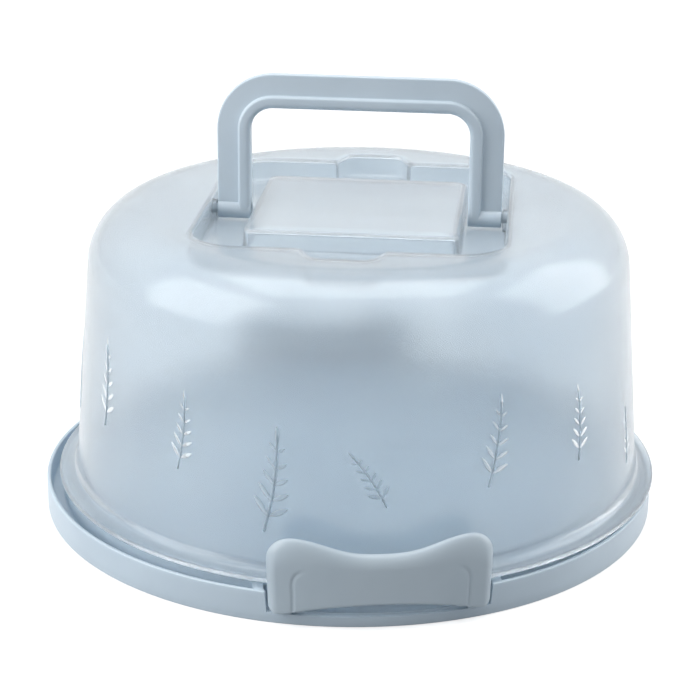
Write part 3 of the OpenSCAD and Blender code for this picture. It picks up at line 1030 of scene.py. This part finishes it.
latchSizes = {
    "half": 49.6,
    "flare": 1.2,  # how much further each end reaches at the top
    "faceRadius": 156.5,
    "backRadius": 152.3,
    "wall": 2.0,
    "lobeTop": 42.2,
    "lobeX": 38.2,
    "corner": 11.4,
    "dip": 6.4,
    "dipPower": 1.6,
    "bottom": 6.6,
    "arch": 6.2,
    "archX": 44.1,
    "bottomCorner": 3.0,
    "faceEdge": 0.8,
    "endRound": 3.8,
    "lobeRound": 11.5,
    "dipRound": 6.5,
    "back": 4.0,
    "backThick": 1.6,
    "hollowEnd": 46.6,
    "stations": 150,
    "crowding": 0.75,  # how much the stations crowd towards the ends
    "panelX": 39.0,
    "panelTop": 22.0,
    "panelTurn": 6.5,
    "groove": 0.55,
    "grooveWidth": 0.5,
    "grooveEnd": 0.9,  # radians round the corner at which the line begins to fade
    "grooveFade": 0.7,
    "hookRadius": 150.7,
    "hookZ": 18.3,
    "hookThick": 2.2,
    "hookHalf": 15.0,
    "hookBevel": 0.5,
    "hookLead": 0.9,
    "hingeY": 143.5,
    "hingeZ": 8.8,
    "knuckle": 3.3,
    "knuckleX": 34.8,
    "knuckleThick": 4.0,
    "knuckleFoot": (197.6, 262),  # degrees of the knuckle's round underside
    "skin": 1.0,  # how far the hook and the knuckles end inside the face
    "pin": 1.8,
    "pinEnd": 43.4,
    "pinBevel": 0.4,
}


def lobeBlend(s, x):
    if abs(x) >= s["lobeX"]:
        return 1.0
    return ((1 - math.cos(math.pi * abs(x) / s["lobeX"])) / 2) ** s["dipPower"]


def latchTop(s, x):
    if abs(x) < s["lobeX"]:
        return s["lobeTop"] - s["dip"] * (1 - lobeBlend(s, x))
    over = abs(x) - s["lobeX"]
    return s["lobeTop"] - s["corner"] + math.sqrt(max(0, s["corner"] ** 2 - over**2))


def latchBottom(s, x):
    height = max(s["bottom"], s["bottom"] + s["arch"] * (1 - (x / s["archX"]) ** 2))
    over = abs(x) - s["half"] + s["bottomCorner"]
    if over > 0:
        height += s["bottomCorner"] - math.sqrt(max(0, s["bottomCorner"] ** 2 - over**2))
    return height


def latchFace(s, x):
    over = abs(x) - s["half"] + s["endRound"]
    if over <= 0:
        return s["faceRadius"]
    return s["faceRadius"] - s["endRound"] + math.sqrt(max(0, s["endRound"] ** 2 - over**2))


# Depth of the fine line that frames the face's middle panel
def grooveDepth(s, x, z):
    turnX, turnZ = s["panelX"] - s["panelTurn"], s["panelTop"]
    side = abs(x)
    if z < turnZ:
        away = abs(side - s["panelX"])
        strength = 1.0
    else:
        away = abs(math.hypot(side - turnX, z - turnZ) - s["panelTurn"])
        lift = math.atan2(z - turnZ, side - turnX)
        faded = max(0.0, lift - s["grooveEnd"]) / s["grooveFade"]
        strength = max(0.0, 1 - faded) if side > turnX - 2 else 0.0
    return s["groove"] * strength * math.exp(-((away / s["grooveWidth"]) ** 2))


def latchSection(s, x):
    f, low, high, back = latchFace(s, x), latchBottom(s, x), latchTop(s, x), s["backRadius"]
    rise = s["dipRound"] + (s["lobeRound"] - s["dipRound"]) * lobeBlend(s, x)
    edge = min(s["faceEdge"], (f - back) / 3)
    points = []
    for a in stretch(0, math.pi / 2, 3):
        points.append((f - edge + edge * math.sin(a), low + edge - edge * math.cos(a)))
    for i in range(23):
        z = low + edge + (high - rise - low - edge) * i / 22
        points.append((f - grooveDepth(s, x, z), z))
    for i in range(1, 15):
        a = math.pi / 2 * i / 14
        points.append((back + (f - back) * math.cos(a), high - rise + rise * math.sin(a)))
    points.append((back, high - s["back"]))
    # behind, the path goes round the hollow, and at the solid ends straight down the back
    hollow = min(1.0, max(0.0, s["hollowEnd"] + 1 - abs(x)))
    inner, thin = f - s["wall"], back + s["backThick"]
    cavity = [(thin, high - s["back"])]
    for i in range(7):
        a = math.pi / 2 * (1 - i / 6)
        across, up = (inner - thin) * math.cos(a), (rise - s["wall"]) * math.sin(a)
        cavity.append((thin + across, high - rise + up))
    cavity += [(inner, high - rise + (low + 2 - high + rise) * i / 4) for i in range(1, 5)]
    cavity += [(inner + 0.3, low + 0.6), (inner + s["wall"] / 3, low)]
    for i, (r, z) in enumerate(cavity):
        t = (i + 1) / len(cavity)
        straight = (high - s["back"]) * (1 - t) + low * t
        points.append((r * hollow + back * (1 - hollow), z * hollow + straight * (1 - hollow)))
    return points


def hookPart(s):
    nose, reach = s["hookRadius"], s["faceRadius"] - s["skin"]
    low, high = s["hookZ"], s["hookZ"] + s["hookThick"]
    bevel, lead = s["hookBevel"], s["hookLead"]
    rings = []
    count = 40
    for i in range(count + 1):
        x = s["hookHalf"] * (2 * i / count - 1)
        root = math.sqrt(reach * reach - x * x)
        outline = [(root, low), (nose + bevel, low), (nose, low + bevel)]
        outline += [(nose, high - lead), (nose + lead, high), (root, high)]
        rings.append([(x, -y, z) for y, z in outline])
    shape = [[], []]
    loft(shape, rings, capped=True)
    return makePiece("hook", *shape, latchPlastic)


def knucklePart(s, side):
    far = s["knuckleX"] + s["knuckleThick"]
    reach = math.sqrt((s["faceRadius"] - s["skin"]) ** 2 - far**2) - s["hingeY"]
    outline = arc(0, 0, s["knuckle"], -90, 90, 16)
    outline += [(-reach, s["knuckle"] - 1), (-reach, -1)]
    outline += arc(0, 0, s["knuckle"], *s["knuckleFoot"], 6)
    rings = []
    for x in (side * s["knuckleX"], side * far):
        rings.append([(x, y - s["hingeY"], z + s["hingeZ"]) for y, z in outline])
    shape = [[], []]
    loft(shape, rings, capped=True)
    body = makePiece("knuckle", *shape, latchPlastic)
    turns = [2 * math.pi * k / 32 for k in range(32)]
    pin, end, bevel = s["pin"], s["pinEnd"], s["pinBevel"]
    rings = []
    for x, r in ((s["knuckleX"] + 2, pin), (end - bevel, pin), (end, pin - bevel)):
        spots = [(r * math.cos(a), r * math.sin(a)) for a in turns]
        rings.append([(side * x, y - s["hingeY"], z + s["hingeZ"]) for y, z in spots])
    shape = [[], []]
    loft(shape, rings, capped=True)
    return joinPieces(body, makePiece("pin", *shape, latchPlastic))


def buildLatch(s, name, turn):
    crowd, span = s["crowding"], s["lobeTop"] - s["bottom"]
    rings = []
    for i in range(s["stations"] + 1):
        t = i / s["stations"]
        x = s["half"] * (crowd * math.sin(math.pi * (t - 0.5)) + (1 - crowd) * (2 * t - 1))
        ring = []
        for r, z in latchSection(s, x):
            wide = x * (1 + s["flare"] / s["half"] * (z - s["bottom"]) / span)
            ring.append((wide, -math.sqrt(r * r - wide * wide), z))
        rings.append(ring)
    shape = [[], []]
    loft(shape, rings, capped=True)
    latch = makePiece(name + "_clasp", *shape, latchPlastic, 50)
    latch = joinPieces(latch, hookPart(s), knucklePart(s, -1), knucklePart(s, 1))
    turnPiece(latch, turn)
    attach(latch, name)
    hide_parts(name)


buildLatch(latchSizes, "front_latch", 0)
buildLatch(latchSizes, "rear_latch", 180)
print("latches made")


# Stage: a plain pale floor and soft boxes, in metres

stageSizes = {
    "floor": 8.0,
    "floorGlow": 0.62,  # what the camera sees of the floor by itself, the rest is lit
    "glowNear": 0.7,
    "glowFar": 2.4,
    "floorSeen": "C4C4C4",
    "floorPlain": "90959A",
    "world": 0.37,
    "worldPlain": "F4F7FA",
}


# Shows one shader to rays from the camera, off a glossy surface or through plastic, and
# the other to all the rest
def seenAndPlain(tree, seen, plain):
    path = addNode(tree, "ShaderNodeLightPath").outputs
    both = reckon(tree, "ADD", path["Is Camera Ray"], path["Is Glossy Ray"])
    share = addNode(
        tree,
        "ShaderNodeMath",
        {"operation": "ADD", "use_clamp": True},
        {0: both, 1: path["Is Transmission Ray"]},
    ).outputs[0]
    links = {0: share, 1: plain.outputs[0], 2: seen.outputs[0]}
    return addNode(tree, "ShaderNodeMixShader", None, links).outputs[0]


def makeStage(s):
    material, tree = newMaterial("paleFloor")
    lit = addNode(tree, "ShaderNodeBsdfDiffuse", {"Color": linear(s["floorSeen"])})
    # the floor's own glow grows to full white where the lamps don't reach
    place = addNode(tree, "ShaderNodeTexCoord").outputs["Object"]
    away = addNode(tree, "ShaderNodeVectorMath", {"operation": "LENGTH"}, {0: place})
    strength = addNode(
        tree,
        "ShaderNodeMapRange",
        {"From Min": s["glowNear"], "From Max": s["glowFar"], "To Min": s["floorGlow"], "To Max": 1.0},
        {"Value": away.outputs["Value"]},
    )
    glow = addNode(tree, "ShaderNodeEmission", None, {"Strength": strength.outputs["Result"]})
    plain = addNode(tree, "ShaderNodeBsdfDiffuse", {"Color": linear(s["floorPlain"])})
    white = addNode(tree, "ShaderNodeAddShader", None, {0: lit.outputs[0], 1: glow.outputs[0]})
    addNode(tree, "ShaderNodeOutputMaterial", None, {"Surface": seenAndPlain(tree, white, plain)})
    half = s["floor"] / 2
    mesh = bpy.data.meshes.new("floor")
    corners = [(-half, -half, 0), (half, -half, 0), (half, half, 0), (-half, half, 0)]
    mesh.from_pydata(corners, [], [(0, 1, 2, 3)])
    mesh.materials.append(material)
    floor = addObject("floor", mesh)
    world = bpy.data.worlds.new("studio")
    bpy.context.scene.world = world
    world.use_nodes = True
    tree = world.node_tree
    tree.nodes.clear()
    dim = {"Color": linear(s["worldPlain"]), "Strength": s["world"]}
    ambient = addNode(tree, "ShaderNodeBackground", dim)
    seen = addNode(tree, "ShaderNodeBackground", {"Color": (1, 1, 1, 1), "Strength": 1.0})
    addNode(tree, "ShaderNodeOutputWorld", None, {"Surface": seenAndPlain(tree, seen, ambient)})


# Soft boxes: name, place, point aimed at, width, height, watts
softBoxes = [
    ("overhead", (0.0, 0.0, 1.6), (0, 0, 0.1), 1.6, 1.0, 14.0),
    ("leftBox", (-1.35, -0.3, 0.75), (0, 0, 0.1), 1.2, 1.4, 18.0),
    ("rightBox", (1.35, 0.1, 0.7), (0, 0, 0.1), 1.2, 1.4, 13.0),
]


def makeLamps():
    for name, place, aim, wide, high, watts in softBoxes:
        data = bpy.data.lights.new(name, "AREA")
        data.shape = "RECTANGLE"
        data.size, data.size_y = wide, high
        data.energy = watts
        lamp = addObject(name, data)
        lamp.location = place
        lamp.rotation_euler = (Vector(aim) - Vector(place)).to_track_quat("-Z", "Y").to_euler()


makeStage(stageSizes)
makeLamps()
bpy.context.scene.view_settings.view_transform = "Standard"
print("stage made")
